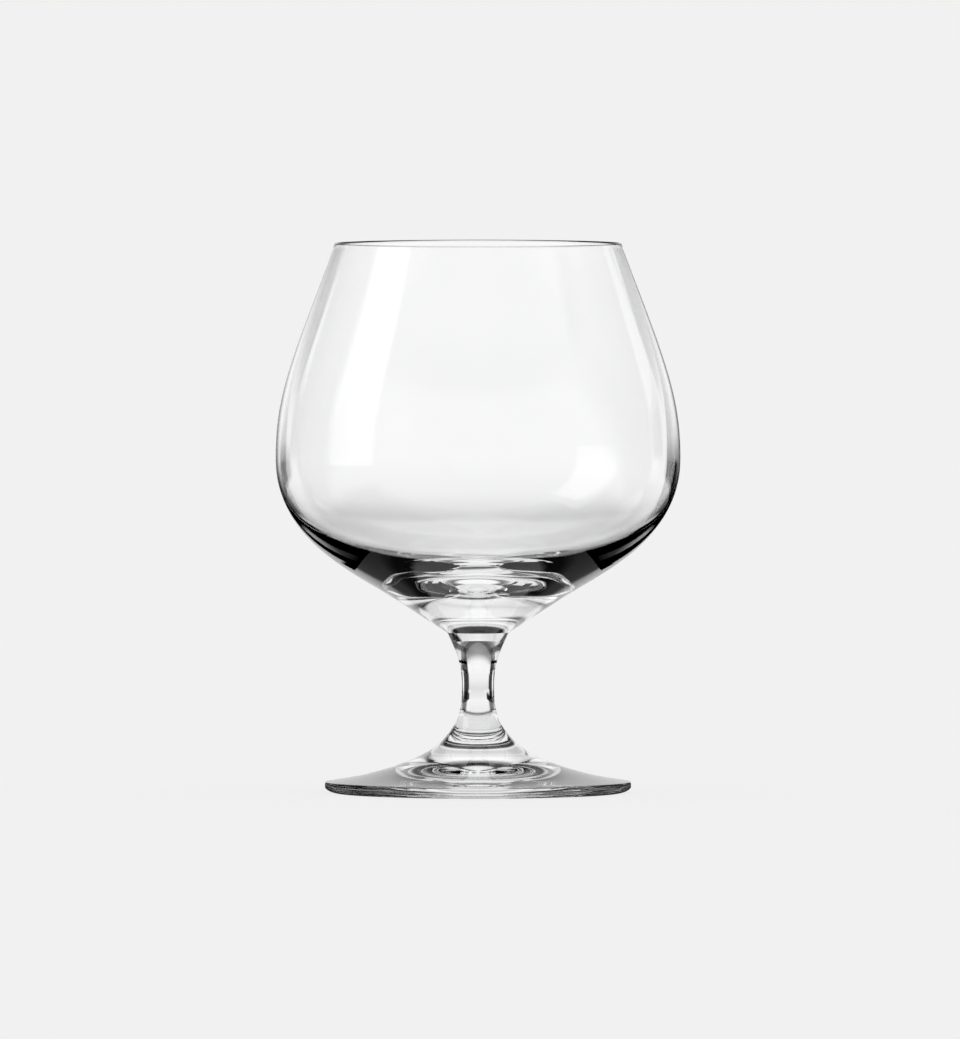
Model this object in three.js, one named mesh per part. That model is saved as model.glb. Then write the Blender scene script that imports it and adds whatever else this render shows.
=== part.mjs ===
// A stemmed snifter glass: a blown bowl with a heavy base, a drawn stem and a spread foot.
// The three pieces are fused end to end on flat seams. Millimetres, +Z up, standing on Z = 0.
import * as THREE from "three";

// Heights of the three pieces, stacked from the table up
const footHeight = 12.7;
const stemLength = 25.8;
const bowlHeight = 93.5;

// Seams
const footSeamDiameter = 16.9;
const bowlSeamDiameter = 14.8;

// Bowl outside
const rimDiameter = 69.1;
const rimLean = 20.7; // degrees that the wall leans in at the rim
const rimRun = 29.8; // pull of the nearly straight wall below the rim
const bowlDiameter = 97.25;
const bowlWidestHeight = 41.9; // above the bowl's seam
const sideRunUp = 14.8; // pull of the upright wall above the widest place
const sideRunDown = 19.6; // and below it
const coneLean = 57.2; // degrees that the base's cone leans out from upright
const coneDiameter = 40.8; // where the cone starts to round into the side
const coneRun = 11.1; // pull of the cone on that rounding

// Bowl inside
const rimWall = 0.8;
const sideWall = 1.2; // at the widest place
const floorThickness = 12.2; // solid glass on the axis, above the seam
const floorRun = 26; // pull of the level floor on the inside curve
const innerSideRunDown = 19.5; // pull of the upright inside wall on the same curve

// Stem
const waistDiameter = 7.76;
const waistHeight = 12.9; // above the stem's lower seam
const waistRunUp = 4.8;
const waistRunDown = 6.1;
const stemTopLean = 25.7; // degrees from upright at the bowl's seam
const stemTopRun = 5.95;
const flareLean = 42; // degrees from upright at the foot's seam, shared by stem and foot
const stemFlareRun = 5.2;

// Foot
const footDiameter = 73.5;
const footFlareRun = 4.9;
const footEdgeLean = 82; // degrees from upright where the top meets the edge
const footEdgeRun = 14.95;
const footEdgeRound = 0.4;
const footEdgeTop = 2.35; // where the upright edge ends and its rounding starts
const footEdgeBottom = 1.45; // where the edge turns in towards the table
const footEdgeTurn = 0.6; // pull of the upright edge on that turn
const restingRingDiameter = 67.2; // outside of the flat ring that stands on the table
const restingRingWidth = 2;
const restingRingRun = 1.6; // pull of the flat ring on the turn up to the edge
const hollowHeight = 2.6; // rise of the underside on the axis
const hollowRun = 15; // pull of the level middle of the hollow
const hollowRimRun = 8; // pull of the hollow's edge
const hollowRimSlope = 4; // degrees of that edge from level

// Facets
const roundSegments = 64;
const curveSteps = 10;
const roundingSteps = 3;

const point = (radius, height) => new THREE.Vector2(radius, height);

// The point that lies a distance from another, at an angle in degrees from the radius direction.
function along(start, degrees, distance) {
  const angle = THREE.MathUtils.degToRad(degrees);
  return point(start.x + distance * Math.cos(angle), start.y + distance * Math.sin(angle));
}

function curve(start, startPull, endPull, end, steps = curveSteps) {
  return new THREE.CubicBezierCurve(start, startPull, endPull, end).getPoints(steps);
}

function arc(centre, radius, fromDegrees, toDegrees) {
  const from = THREE.MathUtils.degToRad(fromDegrees);
  const to = THREE.MathUtils.degToRad(toDegrees);
  const circle = new THREE.EllipseCurve(centre.x, centre.y, radius, radius, from, to);
  return circle.getPoints(roundingSteps);
}

// Turns a profile of radius and height, from the axis round to the axis, into a named glass solid.
function turned(name, profile) {
  const points = profile.filter((p, i) => i === 0 || p.distanceTo(profile[i - 1]) > 1e-6);
  const geometry = new THREE.LatheGeometry(points, roundSegments).rotateX(Math.PI / 2);
  const glass = new THREE.MeshStandardMaterial({
    name: "clear_glass",
    color: 0xf2f5f4,
    roughness: 0.02,
    metalness: 0,
    transparent: true,
    opacity: 0.35,
  });
  const mesh = new THREE.Mesh(geometry, glass);
  mesh.name = name;
  return mesh;
}

// The bowl, with its seam at height 0
function bowlProfile() {
  const seamEdge = point(bowlSeamDiameter / 2, 0);
  const coneRise = (coneDiameter - bowlSeamDiameter) / 2 / Math.tan(THREE.MathUtils.degToRad(coneLean));
  const coneTop = point(coneDiameter / 2, coneRise);
  const widest = point(bowlDiameter / 2, bowlWidestHeight);

  const lipRadius = rimWall / 2;
  const lipOffset = lipRadius * Math.cos(THREE.MathUtils.degToRad(rimLean));
  const lipCentre = point(rimDiameter / 2 - lipOffset, bowlHeight - lipRadius);
  const lipOutside = along(lipCentre, rimLean, lipRadius);
  const lipInside = along(lipCentre, rimLean + 180, lipRadius);
  const lipTop = 90;
  const downTheWall = rimLean - 90;

  const innerWidest = point(widest.x - sideWall, widest.y);
  const floor = point(0, floorThickness);

  return [
    point(0, 0),
    seamEdge,
    ...curve(
      coneTop,
      along(coneTop, 90 - coneLean, coneRun),
      point(widest.x, widest.y - sideRunDown),
      widest,
    ),
    ...curve(
      widest,
      point(widest.x, widest.y + sideRunUp),
      along(lipOutside, downTheWall, rimRun),
      lipOutside,
    ),
    ...arc(lipCentre, lipRadius, rimLean, lipTop),
    ...arc(lipCentre, lipRadius, lipTop, rimLean + 180),
    ...curve(
      lipInside,
      along(lipInside, downTheWall, rimRun),
      point(innerWidest.x, innerWidest.y + sideRunUp),
      innerWidest,
    ),
    ...curve(
      innerWidest,
      point(innerWidest.x, innerWidest.y - innerSideRunDown),
      point(floorRun, floor.y),
      floor,
    ),
  ];
}

// The stem, with its lower seam at height 0
function stemProfile() {
  const bottomEdge = point(footSeamDiameter / 2, 0);
  const waist = point(waistDiameter / 2, waistHeight);
  const topEdge = point(bowlSeamDiameter / 2, stemLength);
  return [
    point(0, 0),
    ...curve(
      bottomEdge,
      along(bottomEdge, 90 + flareLean, stemFlareRun),
      point(waist.x, waist.y - waistRunDown),
      waist,
    ),
    ...curve(
      waist,
      point(waist.x, waist.y + waistRunUp),
      along(topEdge, 270 - stemTopLean, stemTopRun),
      topEdge,
    ),
    point(0, stemLength),
  ];
}

// The foot, standing on the table at height 0
function footProfile() {
  const hollowTop = point(0, hollowHeight);
  const ringOutside = point(restingRingDiameter / 2, 0);
  const ringInside = point(ringOutside.x - restingRingWidth, 0);
  const edgeBottom = point(footDiameter / 2, footEdgeBottom);
  const edgeCentre = point(footDiameter / 2 - footEdgeRound, footEdgeTop);
  const edgeTop = along(edgeCentre, footEdgeLean, footEdgeRound);
  const seamEdge = point(footSeamDiameter / 2, footHeight);
  return [
    ...curve(
      hollowTop,
      point(hollowRun, hollowHeight),
      along(ringInside, 180 - hollowRimSlope, hollowRimRun),
      ringInside,
    ),
    ...curve(
      ringOutside,
      point(ringOutside.x + restingRingRun, 0),
      point(edgeBottom.x, edgeBottom.y - footEdgeTurn),
      edgeBottom,
      roundingSteps,
    ),
    ...arc(edgeCentre, footEdgeRound, 0, footEdgeLean),
    ...curve(
      edgeTop,
      along(edgeTop, 90 + footEdgeLean, footEdgeRun),
      along(seamEdge, flareLean - 90, footFlareRun),
      seamEdge,
    ),
    point(0, footHeight),
  ];
}

const foot = turned("foot", footProfile());
const stem = turned("stem", stemProfile());
stem.position.z = footHeight;
const bowl = turned("bowl", bowlProfile());
bowl.position.z = footHeight + stemLength;

const snifter = new THREE.Group();
snifter.name = "snifter";
snifter.add(foot, stem, bowl);

export default snifter;
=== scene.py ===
"""A clear stemmed snifter glass on a pale studio floor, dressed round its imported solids.

Each glass piece is turned again, finely, from the meridian of its own solid. Metres, +Z up.
"""
import math

import bpy
import numpy as np
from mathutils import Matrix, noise


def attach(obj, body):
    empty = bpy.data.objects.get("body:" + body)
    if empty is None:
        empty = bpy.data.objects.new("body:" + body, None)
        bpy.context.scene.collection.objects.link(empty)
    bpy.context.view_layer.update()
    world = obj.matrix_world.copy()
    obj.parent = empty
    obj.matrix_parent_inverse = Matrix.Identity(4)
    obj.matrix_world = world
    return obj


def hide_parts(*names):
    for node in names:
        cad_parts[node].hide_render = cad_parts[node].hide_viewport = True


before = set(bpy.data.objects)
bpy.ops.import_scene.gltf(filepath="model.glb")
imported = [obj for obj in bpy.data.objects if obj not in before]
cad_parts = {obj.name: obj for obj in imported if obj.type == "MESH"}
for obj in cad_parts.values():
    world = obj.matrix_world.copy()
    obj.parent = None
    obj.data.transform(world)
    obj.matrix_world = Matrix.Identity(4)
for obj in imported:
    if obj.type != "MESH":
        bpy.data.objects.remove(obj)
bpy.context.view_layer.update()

# Glass pieces
ROUND_SEGMENTS = 192
FINE_STEP = 0.0006  # longest step along a turned profile
FEWEST_STEPS = 8  # on a small rounding
ON_PLANE = 1e-6  # how near a vertex lies to the meridian plane or the axis
SAME_DIGITS = 7  # decimals to which corners at one place agree
STRAIGHT = 1
ROUNDING = 3
CURVE = 10
RUNS = {  # steps of each run along a solid's profile, from the axis round to the axis
    "foot": (CURVE, STRAIGHT, ROUNDING, STRAIGHT, ROUNDING, CURVE, STRAIGHT),
    "stem": (STRAIGHT, CURVE, CURVE, STRAIGHT),
    "bowl": (STRAIGHT, STRAIGHT, CURVE, CURVE, ROUNDING, ROUNDING, CURVE, CURVE),
}
WAVE_HEIGHT = 0.0003  # of the blown bowl's slightly uneven inside, low in the bowl
WAVE_LENGTH = 0.011
WAVE_TOP = 0.06  # where the unevenness has died out, above the table
GLASS_INDEX = 1.52  # of refraction
TINT_PALE = (1.0, 1.0, 1.0, 1)
TINT_DEEP = (0.985, 0.99, 0.988, 1)
TINT_SCALE = 25.0  # of the faint uneven tint
SEAM_TINT_SCALE = 300.0
BODY = "root"
SLOT = "clear_glass"

# Camera, at the photograph's viewing angle
FRAME_WIDTH = 960
FRAME_HEIGHT = 1039
AIM_PIXEL = (478.0, 518.0)  # where the aim point shows in the frame
AIM_HEIGHT = 0.066
METRES_PER_PIXEL = 0.00024
CAMERA_DISTANCE = 7.0
CAMERA_ELEVATION = math.radians(1.9)
CAMERA_REACH = 100.0
SENSOR = 36.0

# Studio. Bearings are in degrees round the axis from behind the glass, positive to the right.
FLOOR_RADIUS = 20.0
FLOOR_BRIGHTNESS = 0.88
FLOOR_GLOW = 0.9  # share of the floor's brightness that it gives off as a light table
ROOM_RADIUS = 8.0
ROOM_HEIGHT = 0.06  # of its middle
ROOM_WALLS = ((-180, 0.95), (-42, 0.95), (-34, 0.1), (30, 0.1), (38, 0.95), (180, 0.95))
ROOM_LOW = ((-90, 1.0), (28, 1.0), (34, 0.05), (90, 0.05))  # share by degrees above level
ROOM_FRONT = ((-180, 1.0), (-115, 1.0), (-100, 0.0), (100, 0.0), (115, 1.0), (180, 1.0))
CEILING = (
    (-180, 1.0), (-115, 1.0), (-100, 0.05), (-38, 0.05), (-30, 1.0),
    (30, 1.0), (38, 0.05), (100, 0.05), (115, 1.0), (180, 1.0),
)
CEILING_HIGH = ((-90, 0.0), (40, 0.0), (47, 1.0), (90, 1.0))  # share by degrees above level
CARD_DISTANCE = 0.36  # of the white card behind the glass
CARD_WIDTH = 0.8
CARD_HEIGHT = 0.24
CARD_ACROSS = ((-0.4, 0.0), (-0.225, 0.0), (-0.2, 1.0), (0.15, 1.0), (0.175, 0.0), (0.4, 0.0))
CARD_SIDES = ((0, 0.0), (0.06, 0.0), (0.085, 1.0), (0.24, 1.0))  # white above its low black sides
CARD_RISE = (
    (0, 0.75), (0.008, 0.73), (0.03, 0.86), (0.06, 0.93), (0.1, 1.0),
    (0.13, 1.0), (0.15, 0.85), (0.19, 0.35), (0.24, 0.2),
)
TABLE_RADIUS = 2.0
TABLE_REACH = 0.4  # beyond this distance its levels stay the same
TABLE_DROP = 0.0002  # of the table card under the floor
# The white strip lies where these three are 1: across, by bearing and by distance behind.
TABLE_ACROSS = ((-0.4, 0.0), (-0.095, 0.0), (-0.075, 1.0), (0.08, 1.0), (0.105, 0.0), (0.4, 0.0))
TABLE_WEDGE = ((-180, 0.0), (-33, 0.0), (-27, 1.0), (27, 1.0), (33, 0.0), (180, 0.0))
TABLE_BEHIND = ((0.0, 0.0), (0.02, 0.0), (0.035, 1.0), (0.1, 1.0))
# Painted shade in both level tables: 0.7 under the foot for the glass's own shadow, and a near-black
# ring round the foot for the flags' shadow, which the outward levels carry on as a dark band out to
# 0.11 m.
TABLE_STRIP = (  # its levels from the axis outward
    (0, 0.7), (0.0305, 0.7), (0.0335, 0.03), (0.044, 0.03), (0.054, 0.85),
    (0.15, 0.92), (0.25, 0.83), (0.33, 0.82), (0.36, 0.76), (0.4, 0.76),
)
TABLE_OUTWARD = (  # the levels elsewhere
    (0, 0.7), (0.0305, 0.7), (0.0335, 0.03), (0.045, 0.03),
    (0.056, 0.15), (0.11, 0.15), (0.16, 0.8), (0.4, 0.9),
)
TABLE_UNDER = ((0, 0.75), (0.014, 0.75), (0.022, 0.0), (0.03, 0.0))  # under the middle of the foot
SOFTBOX_DISTANCE = 1.2
SOFTBOX_FROM = -120.0
SOFTBOX_TO = -83.0
SOFTBOX_EDGES = ((-120, 1.0), (-117, 0.0), (-89, 0.0), (-83, 1.0))  # share let through at its sides
SOFTBOX_TOP = 1.5
SOFTBOX_FULL = 0.40
SOFTBOX_BOTTOM = 0.0
SOFTBOX_LOW_LEVEL = 0.75  # share of its light at the bottom
SOFTBOX_STRENGTH = 2.1
LIGHT_BOUNCES = 40
MIRRORED_BOUNCES = 6  # few, so that the longest light paths in the thick base stay dark

# Black flags beside the glass, with a top that slants down towards the camera, a window and a hem
# that runs on behind. Their stops are shares let through.
FLAG_DISTANCE = 0.06
FLAG_FROM = -0.04
FLAG_TO = {"flag_left": 0.1, "flag_right": 0.131}
FLAG_TOP = 0.15
FLAG_SOFT = 0.01  # width of the soft far edge
FLAG_HIGH = {
    "flag_left": ((0, 0.0), (0.072, 0.0), (0.098, 0.55), (0.135, 0.6), (0.15, 1.0)),
    "flag_right": ((0, 0.0), (0.072, 0.0), (0.098, 0.3), (0.135, 0.4), (0.15, 1.0)),
}
FLAG_SLANT = ((-0.2, 0.0), (0.03, 0.0), (0.06, 1.0), (0.2, 1.0))  # over height less distance behind
HEM_TO = 0.145  # where the hem ends
HEM_ALONG = ((-0.04, 1.0), (0.06, 1.0), (0.062, 0.0), (0.145, 0.0))
HEM_RISE = ((0, 0.0), (0.01, 0.0), (0.014, 1.0), (0.15, 1.0))
WINDOW_ALONG = ((-0.04, 0.0), (0.034, 0.0), (0.038, 1.0), (0.054, 1.0), (0.058, 0.0), (0.145, 0.0))
WINDOW_RISE = ((0, 0.0), (0.004, 0.0), (0.022, 1.0), (0.044, 1.0), (0.05, 0.0), (0.15, 0.0))


def meridian(node):
    """The solid's profile as rows of radius and height, from the axis round to the axis again."""
    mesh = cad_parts[node].data
    corners = {}
    names = []
    for vertex in mesh.vertices:
        key = tuple(round(value, SAME_DIGITS) for value in vertex.co)
        names.append(corners.setdefault(key, len(corners)))
    places = np.array(list(corners))
    flat = (np.abs(places[:, 1]) < ON_PLANE) & (places[:, 0] > -ON_PLANE)
    beside = {index: set() for index in np.flatnonzero(flat)}
    for edge in mesh.edges:
        start, end = (names[index] for index in edge.vertices)
        if start != end and start in beside and end in beside:
            beside[start].add(end)
            beside[end].add(start)
    ends = [index for index in beside if places[index, 0] < ON_PLANE]
    path = [min(ends, key=lambda index: places[index, 2])]
    while len(path) == 1 or path[-1] not in ends:
        path.append(next(index for index in beside[path[-1]] if index not in path))
    return places[path][:, (0, 2)]


def fine_profile(node):
    """The solid's profile, with each run drawn finely as the cubic curve that its points lie on."""
    points = meridian(node)
    rows = [points[:1]]
    first = 0
    for steps in RUNS[node]:
        run = points[first:first + steps + 1]
        first += steps
        if steps == STRAIGHT:
            rows.append(run[1:])
            continue
        length = np.linalg.norm(np.diff(run, axis=0), axis=1).sum()
        count = max(FEWEST_STEPS, math.ceil(length / FINE_STEP))
        cubic = np.polyfit(np.linspace(0, 1, steps + 1), run, 3)
        curve = np.vander(np.linspace(0, 1, count + 1), len(cubic)) @ cubic
        curve[-1] = run[-1]
        rows.append(curve[1:])
    return np.concatenate(rows)


def is_cap(start, end):
    """True for a level stretch that reaches the axis: a face where two pieces are fused."""
    return min(start[0], end[0]) < ON_PLANE and abs(start[1] - end[1]) < ON_PLANE


def turn(name, profile, materials):
    """A closed mesh turned from a profile; its caps take the second material."""
    first = is_cap(profile[0], profile[1])
    last = is_cap(profile[-2], profile[-1])
    rings = profile[1:-1]
    angles = np.arange(ROUND_SEGMENTS) * 2 * math.pi / ROUND_SEGMENTS
    vertices = [(0, 0, profile[0, 1])]
    for radius, height in rings:
        vertices += [(radius * math.cos(a), radius * math.sin(a), height) for a in angles]
    vertices.append((0, 0, profile[-1, 1]))
    top = len(vertices) - 1
    faces = []
    for i in range(ROUND_SEGMENTS):
        j = (i + 1) % ROUND_SEGMENTS
        faces.append((0, 1 + j, 1 + i))
        for ring in range(len(rings) - 1):
            low = 1 + ring * ROUND_SEGMENTS
            high = low + ROUND_SEGMENTS
            faces.append((low + i, low + j, high + j, high + i))
        high = 1 + (len(rings) - 1) * ROUND_SEGMENTS
        faces.append((high + i, high + j, top))
    mesh = bpy.data.meshes.new(name)
    mesh.from_pydata(vertices, [], faces)
    mesh.validate()
    for material in materials:
        mesh.materials.append(material)
    capped = ([0] if first else []) + ([top] if last else [])
    for face in mesh.polygons:
        face.use_smooth = True
        face.material_index = 1 if any(index in capped for index in face.vertices) else 0
    rims = ([range(1, 1 + ROUND_SEGMENTS)] if first else [])
    rims += ([range(top - ROUND_SEGMENTS, top)] if last else [])
    for edge in mesh.edges:
        edge.use_edge_sharp = any(all(index in rim for index in edge.vertices) for rim in rims)
    piece = bpy.data.objects.new(name, mesh)
    bpy.context.scene.collection.objects.link(piece)
    return piece


def make_uneven(piece, profile):
    """Lets the low inside of the bowl stray a little from a true round, as blown glass does."""
    floor = profile[-1, 1]
    inside = 1 + ROUND_SEGMENTS * int(np.argmax(profile[:, 1]))
    for vertex in piece.data.vertices[inside:]:
        share = max(0.0, (WAVE_TOP - vertex.co.z) / (WAVE_TOP - floor))
        vertex.co.z += WAVE_HEIGHT * share * noise.noise(vertex.co / WAVE_LENGTH)


def new_material(name):
    material = bpy.data.materials.new(name)
    material.use_nodes = True
    material.node_tree.nodes.clear()
    return material, material.node_tree.nodes, material.node_tree.links


def add_tint(nodes, links, scale, socket):
    """Links the glass's faint uneven tint to a colour socket."""
    place = nodes.new("ShaderNodeTexCoord")
    cords = nodes.new("ShaderNodeTexNoise")
    cords.inputs["Scale"].default_value = scale
    links.new(place.outputs["Object"], cords.inputs["Vector"])
    tint = nodes.new("ShaderNodeValToRGB")
    tint.color_ramp.elements[0].color = TINT_DEEP
    tint.color_ramp.elements[1].color = TINT_PALE
    links.new(cords.outputs["Fac"], tint.inputs["Fac"])
    links.new(tint.outputs["Color"], socket)


def glass_material():
    material, nodes, links = new_material(SLOT)
    output = nodes.new("ShaderNodeOutputMaterial")
    glass = nodes.new("ShaderNodeBsdfPrincipled")
    glass.inputs["Transmission Weight"].default_value = 1.0
    glass.inputs["IOR"].default_value = GLASS_INDEX
    glass.inputs["Roughness"].default_value = 0.0
    links.new(glass.outputs["BSDF"], output.inputs["Surface"])
    add_tint(nodes, links, TINT_SCALE, glass.inputs["Base Color"])
    return material


def weld_material():
    """The fused face between two pieces: light passes as if it weren't there."""
    material, nodes, links = new_material("fused_seam")
    output = nodes.new("ShaderNodeOutputMaterial")
    clear = nodes.new("ShaderNodeBsdfTransparent")
    links.new(clear.outputs["BSDF"], output.inputs["Surface"])
    add_tint(nodes, links, SEAM_TINT_SCALE, clear.inputs["Color"])
    return material


def make_glass():
    materials = [glass_material(), weld_material()]
    for node in RUNS:
        profile = fine_profile(node)
        piece = turn(node + "_glass", profile, materials)
        if node == "bowl":
            make_uneven(piece, profile)
        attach(piece, BODY)
        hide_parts(node)


def make_camera():
    data = bpy.data.cameras.new("camera")
    camera = bpy.data.objects.new("camera", data)
    bpy.context.scene.collection.objects.link(camera)
    right = (FRAME_WIDTH / 2 - AIM_PIXEL[0]) * METRES_PER_PIXEL
    down = (FRAME_HEIGHT / 2 - AIM_PIXEL[1]) * METRES_PER_PIXEL
    sine, cosine = math.sin(CAMERA_ELEVATION), math.cos(CAMERA_ELEVATION)
    aim_y = -down * sine
    aim_z = AIM_HEIGHT - down * cosine
    camera.location = (right, aim_y - CAMERA_DISTANCE * cosine, aim_z + CAMERA_DISTANCE * sine)
    camera.rotation_euler = (math.pi / 2 - CAMERA_ELEVATION, 0, 0)
    data.sensor_width = SENSOR
    data.lens = SENSOR * CAMERA_DISTANCE / (FRAME_HEIGHT * METRES_PER_PIXEL)
    data.clip_end = CAMERA_REACH
    bpy.context.scene.camera = camera
    return camera


def stage_card(name, shape, material, rig):
    """A card of the studio that shows only in the glass, seen through it or mirrored on it."""
    vertices, faces = shape
    mesh = bpy.data.meshes.new(name)
    mesh.from_pydata(vertices, [], faces)
    mesh.materials.append(material)
    for face in mesh.polygons:
        face.use_smooth = True
    card = bpy.data.objects.new(name, mesh)
    bpy.context.scene.collection.objects.link(card)
    card.parent = rig
    card.visible_camera = False
    card.visible_diffuse = False
    card.visible_shadow = False
    return card


def round_wall(radius, from_degrees, to_degrees, bottom, top, steps=24):
    """An upright wall round the axis."""
    vertices = []
    for i in range(steps + 1):
        angle = math.radians(from_degrees + (to_degrees - from_degrees) * i / steps)
        x, y = radius * math.sin(angle), radius * math.cos(angle)
        vertices += [(x, y, bottom), (x, y, top)]
    faces = [(2 * i, 2 * i + 2, 2 * i + 3, 2 * i + 1) for i in range(steps)]
    return vertices, faces


def ball_shape(radius, rows=32, columns=64):
    vertices = [(0, 0, -radius)]
    for row in range(1, rows):
        rise = math.pi * (row / rows - 0.5)
        for column in range(columns):
            angle = 2 * math.pi * column / columns
            flat = radius * math.cos(rise)
            vertices.append((flat * math.sin(angle), flat * math.cos(angle), radius * math.sin(rise)))
    vertices.append((0, 0, radius))
    faces = []
    for column in range(columns):
        beside = (column + 1) % columns
        faces.append((0, 1 + column, 1 + beside))
        for row in range(rows - 2):
            low = 1 + row * columns
            faces.append((low + column, low + beside, low + columns + beside, low + columns + column))
        low = 1 + (rows - 2) * columns
        faces.append((low + column, low + beside, len(vertices) - 1))
    return vertices, faces


def disc_shape(radius, height, columns=72):
    angles = [2 * math.pi * column / columns for column in range(columns)]
    vertices = [(radius * math.cos(a), radius * math.sin(a), height) for a in angles]
    return vertices, [tuple(range(columns))]


class Glow:
    """A light-giving material whose level comes from grey ramps over the studio's own space."""

    def __init__(self, name, strength=1.0):
        self.material, self.nodes, self.links = new_material(name)
        self.output = self.nodes.new("ShaderNodeOutputMaterial")
        self.light = self.nodes.new("ShaderNodeEmission")
        self.light.inputs["Strength"].default_value = strength
        self.links.new(self.light.outputs["Emission"], self.output.inputs["Surface"])
        place = self.nodes.new("ShaderNodeTexCoord")
        split = self.nodes.new("ShaderNodeSeparateXYZ")
        self.links.new(place.outputs["Object"], split.inputs["Vector"])
        self.x, self.y, self.z = (split.outputs[axis] for axis in "XYZ")

    def combine(self, operation, first, second):
        node = self.nodes.new("ShaderNodeMath")
        node.operation = operation
        self.links.new(first, node.inputs[0])
        self.links.new(second, node.inputs[1])
        return node.outputs[0]

    def bearing(self):
        return self.combine("ARCTAN2", self.x, self.y)

    def distance(self):
        across = self.combine("MULTIPLY", self.x, self.x)
        along = self.combine("MULTIPLY", self.y, self.y)
        root = self.nodes.new("ShaderNodeMath")
        root.operation = "SQRT"
        self.links.new(self.combine("ADD", across, along), root.inputs[0])
        return root.outputs[0]

    def ramp(self, value, low, high, stops):
        """Grey levels at stops between low and high."""
        scale = self.nodes.new("ShaderNodeMapRange")
        scale.inputs["From Min"].default_value = low
        scale.inputs["From Max"].default_value = high
        self.links.new(value, scale.inputs["Value"])
        node = self.nodes.new("ShaderNodeValToRGB")
        elements = node.color_ramp.elements
        for index, (place, level) in enumerate(stops):
            at = (place - low) / (high - low)
            if index == 0:
                element = elements[0]
                element.position = at
            elif index == len(stops) - 1:
                element = elements[-1]
                element.position = at
            else:
                element = elements.new(at)
            element.color = (level, level, level, 1)
        self.links.new(scale.outputs["Result"], node.inputs["Fac"])
        return node.outputs["Color"]

    def round_ramp(self, stops):
        """Grey levels round the axis, at stops in degrees."""
        radians = [(math.radians(degrees), level) for degrees, level in stops]
        return self.ramp(self.bearing(), -math.pi, math.pi, radians)

    def rise_ramp(self, stops):
        """Grey levels over the room's height, at stops in degrees above level."""
        heights = [(ROOM_RADIUS * math.sin(math.radians(degrees)), level) for degrees, level in stops]
        return self.ramp(self.z, -ROOM_RADIUS, ROOM_RADIUS, heights)

    def mix(self, share, first, second):
        node = self.nodes.new("ShaderNodeMix")
        node.data_type = "RGBA"
        self.links.new(share, node.inputs["Factor"])
        self.links.new(first, node.inputs["A"])
        self.links.new(second, node.inputs["B"])
        return node.outputs["Result"]

    def fade(self, share):
        """Lets light through where the share is 1."""
        clear = self.nodes.new("ShaderNodeBsdfTransparent")
        both = self.nodes.new("ShaderNodeMixShader")
        self.links.new(share, both.inputs["Fac"])
        self.links.new(self.light.outputs["Emission"], both.inputs[1])
        self.links.new(clear.outputs["BSDF"], both.inputs[2])
        self.links.new(both.outputs["Shader"], self.output.inputs["Surface"])

    def finish(self, level):
        self.links.new(level, self.light.inputs["Color"])
        return self.material


def room_glow():
    """White walls, tall only in front and dark right behind, and a ceiling in front and behind."""
    glow = Glow("room")
    reach = glow.combine("MAXIMUM", glow.round_ramp(ROOM_FRONT), glow.rise_ramp(ROOM_LOW))
    walls = glow.combine("MULTIPLY", glow.round_ramp(ROOM_WALLS), reach)
    ceiling = glow.combine("MULTIPLY", glow.round_ramp(CEILING), glow.rise_ramp(CEILING_HIGH))
    return glow.finish(glow.combine("MAXIMUM", walls, ceiling))


def card_glow():
    """The white card behind the glass, with low black sides."""
    glow = Glow("card")
    across = glow.ramp(glow.x, -CARD_WIDTH / 2, CARD_WIDTH / 2, CARD_ACROSS)
    white = glow.combine("MAXIMUM", across, glow.ramp(glow.z, 0, CARD_HEIGHT, CARD_SIDES))
    return glow.finish(glow.combine("MULTIPLY", white, glow.ramp(glow.z, 0, CARD_HEIGHT, CARD_RISE)))


def table_glow_and_painted_shade():
    """A table that gives off light, pale farther out, with a white strip that widens from the glass
    back to the card, and painted shade under and round the foot for the shadows of the glass and the
    flags.
    """
    glow = Glow("table")
    # Painted shade: the outward and strip levels darken under the foot and round it.
    around = glow.ramp(glow.distance(), 0, TABLE_REACH, TABLE_OUTWARD)
    across = glow.ramp(glow.x, -CARD_WIDTH / 2, CARD_WIDTH / 2, TABLE_ACROSS)
    behind = glow.ramp(glow.y, TABLE_BEHIND[0][0], TABLE_BEHIND[-1][0], TABLE_BEHIND)
    strip = glow.combine("MULTIPLY", across, behind)
    share = glow.combine("MULTIPLY", strip, glow.round_ramp(TABLE_WEDGE))
    level = glow.mix(share, around, glow.ramp(glow.distance(), 0, TABLE_REACH, TABLE_STRIP))
    under = glow.ramp(glow.distance(), 0, TABLE_UNDER[-1][0], TABLE_UNDER)
    return glow.finish(glow.combine("MAXIMUM", level, under))


def flag_material(name):
    """Black cloth with soft edges, a slanted top, one window and a long hem."""
    glow = Glow(name, strength=0.0)

    def along(stops):
        return glow.ramp(glow.y, FLAG_FROM, HEM_TO, stops)

    def rise(stops):
        return glow.ramp(glow.z, 0, FLAG_TOP, stops)

    end = FLAG_TO[name]
    slope = glow.combine("SUBTRACT", glow.z, glow.y)
    slant = glow.ramp(slope, FLAG_SLANT[0][0], FLAG_SLANT[-1][0], FLAG_SLANT)
    cloth = glow.combine("MAXIMUM", rise(FLAG_HIGH[name]), slant)
    window = glow.combine("MULTIPLY", along(WINDOW_ALONG), rise(WINDOW_RISE))
    beyond = along(((FLAG_FROM, 0.0), (end - FLAG_SOFT, 0.0), (end, 1.0), (HEM_TO, 1.0)))
    cloth = glow.combine("MAXIMUM", glow.combine("MAXIMUM", cloth, window), beyond)
    hem = glow.combine("MAXIMUM", along(HEM_ALONG), rise(HEM_RISE))
    glow.fade(glow.combine("MINIMUM", cloth, hem))
    return glow.material


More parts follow.
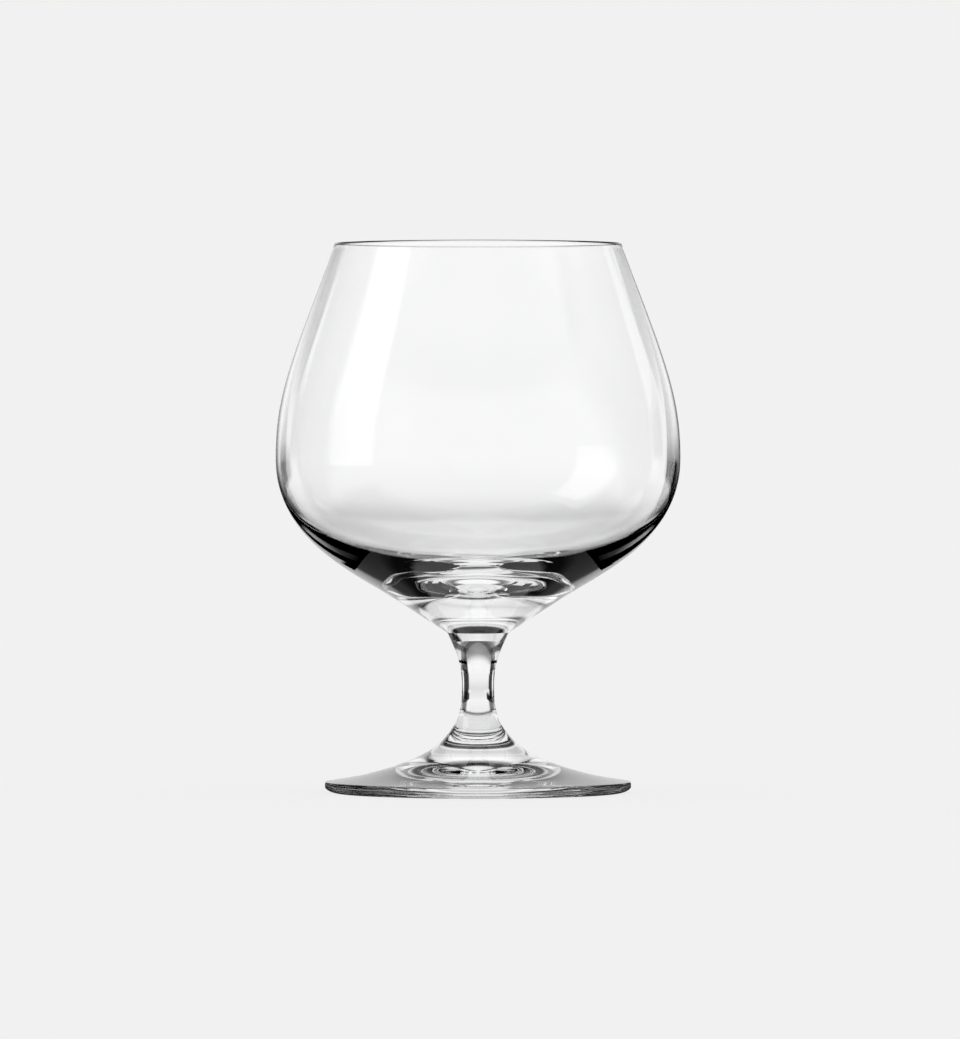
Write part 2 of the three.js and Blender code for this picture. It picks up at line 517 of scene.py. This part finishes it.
def softbox_glow():
    """A lamp at the front left, with soft sides."""
    glow = Glow("softbox", SOFTBOX_STRENGTH)
    stops = ((SOFTBOX_BOTTOM, SOFTBOX_LOW_LEVEL), (SOFTBOX_FULL, 1.0), (SOFTBOX_TOP, 1.0))
    edges = [(math.radians(degrees), share) for degrees, share in SOFTBOX_EDGES]
    share = glow.ramp(glow.bearing(), edges[0][0], edges[-1][0], edges)
    glow.fade(share)
    return glow.finish(glow.ramp(glow.z, SOFTBOX_BOTTOM, SOFTBOX_TOP, stops))


def make_floor():
    vertices, faces = disc_shape(FLOOR_RADIUS, 0)
    mesh = bpy.data.meshes.new("floor")
    mesh.from_pydata(vertices, [], faces)
    material, nodes, links = new_material("floor")
    output = nodes.new("ShaderNodeOutputMaterial")
    both = nodes.new("ShaderNodeAddShader")
    paint = nodes.new("ShaderNodeBsdfDiffuse")
    grey = 1 - FLOOR_GLOW
    paint.inputs["Color"].default_value = (grey, grey, grey, 1)
    light = nodes.new("ShaderNodeEmission")
    light.inputs["Strength"].default_value = FLOOR_BRIGHTNESS * FLOOR_GLOW
    links.new(paint.outputs["BSDF"], both.inputs[0])
    links.new(light.outputs["Emission"], both.inputs[1])
    links.new(both.outputs["Shader"], output.inputs["Surface"])
    mesh.materials.append(material)
    floor = bpy.data.objects.new("floor", mesh)
    bpy.context.scene.collection.objects.link(floor)
    floor.visible_transmission = False
    floor.visible_glossy = False


def make_world():
    world = bpy.data.worlds.new("studio")
    bpy.context.scene.world = world
    world.use_nodes = True
    sky = world.node_tree.nodes["Background"]
    sky.inputs["Color"].default_value = (1, 1, 1, 1)
    sky.inputs["Strength"].default_value = FLOOR_BRIGHTNESS


def make_studio(camera):
    """The cards turn with the camera, as if the glass stood on a turntable in a fixed studio."""
    scene = bpy.context.scene
    rig = bpy.data.objects.new("turntable", None)
    scene.collection.objects.link(rig)
    track = rig.constraints.new("LOCKED_TRACK")
    track.target = camera
    track.track_axis = "TRACK_NEGATIVE_Y"
    track.lock_axis = "LOCK_Z"

    room = stage_card("room", ball_shape(ROOM_RADIUS), room_glow(), rig)
    room.location.z = ROOM_HEIGHT
    stage_card("table", disc_shape(TABLE_RADIUS, -TABLE_DROP), table_glow_and_painted_shade(), rig)
    half = CARD_WIDTH / 2
    outline = ((-half, 0), (half, 0), (half, CARD_HEIGHT), (-half, CARD_HEIGHT))
    corners = [(x, CARD_DISTANCE, z) for x, z in outline]
    stage_card("card", (corners, [(0, 1, 2, 3)]), card_glow(), rig)
    box = round_wall(SOFTBOX_DISTANCE, SOFTBOX_FROM, SOFTBOX_TO, SOFTBOX_BOTTOM, SOFTBOX_TOP)
    stage_card("softbox", box, softbox_glow(), rig)
    for name, x in (("flag_left", -FLAG_DISTANCE), ("flag_right", FLAG_DISTANCE)):
        outline = ((FLAG_FROM, 0), (HEM_TO, 0), (HEM_TO, FLAG_TOP), (FLAG_FROM, FLAG_TOP))
        corners = [(x, y, z) for y, z in outline]
        stage_card(name, (corners, [(0, 1, 2, 3)]), flag_material(name), rig)
    make_floor()
    make_world()

    scene.view_settings.view_transform = "Standard"
    scene.cycles.max_bounces = LIGHT_BOUNCES
    scene.cycles.transmission_bounces = LIGHT_BOUNCES
    scene.cycles.transparent_max_bounces = LIGHT_BOUNCES
    scene.cycles.glossy_bounces = MIRRORED_BOUNCES


camera = make_camera()
make_glass()
make_studio(camera)
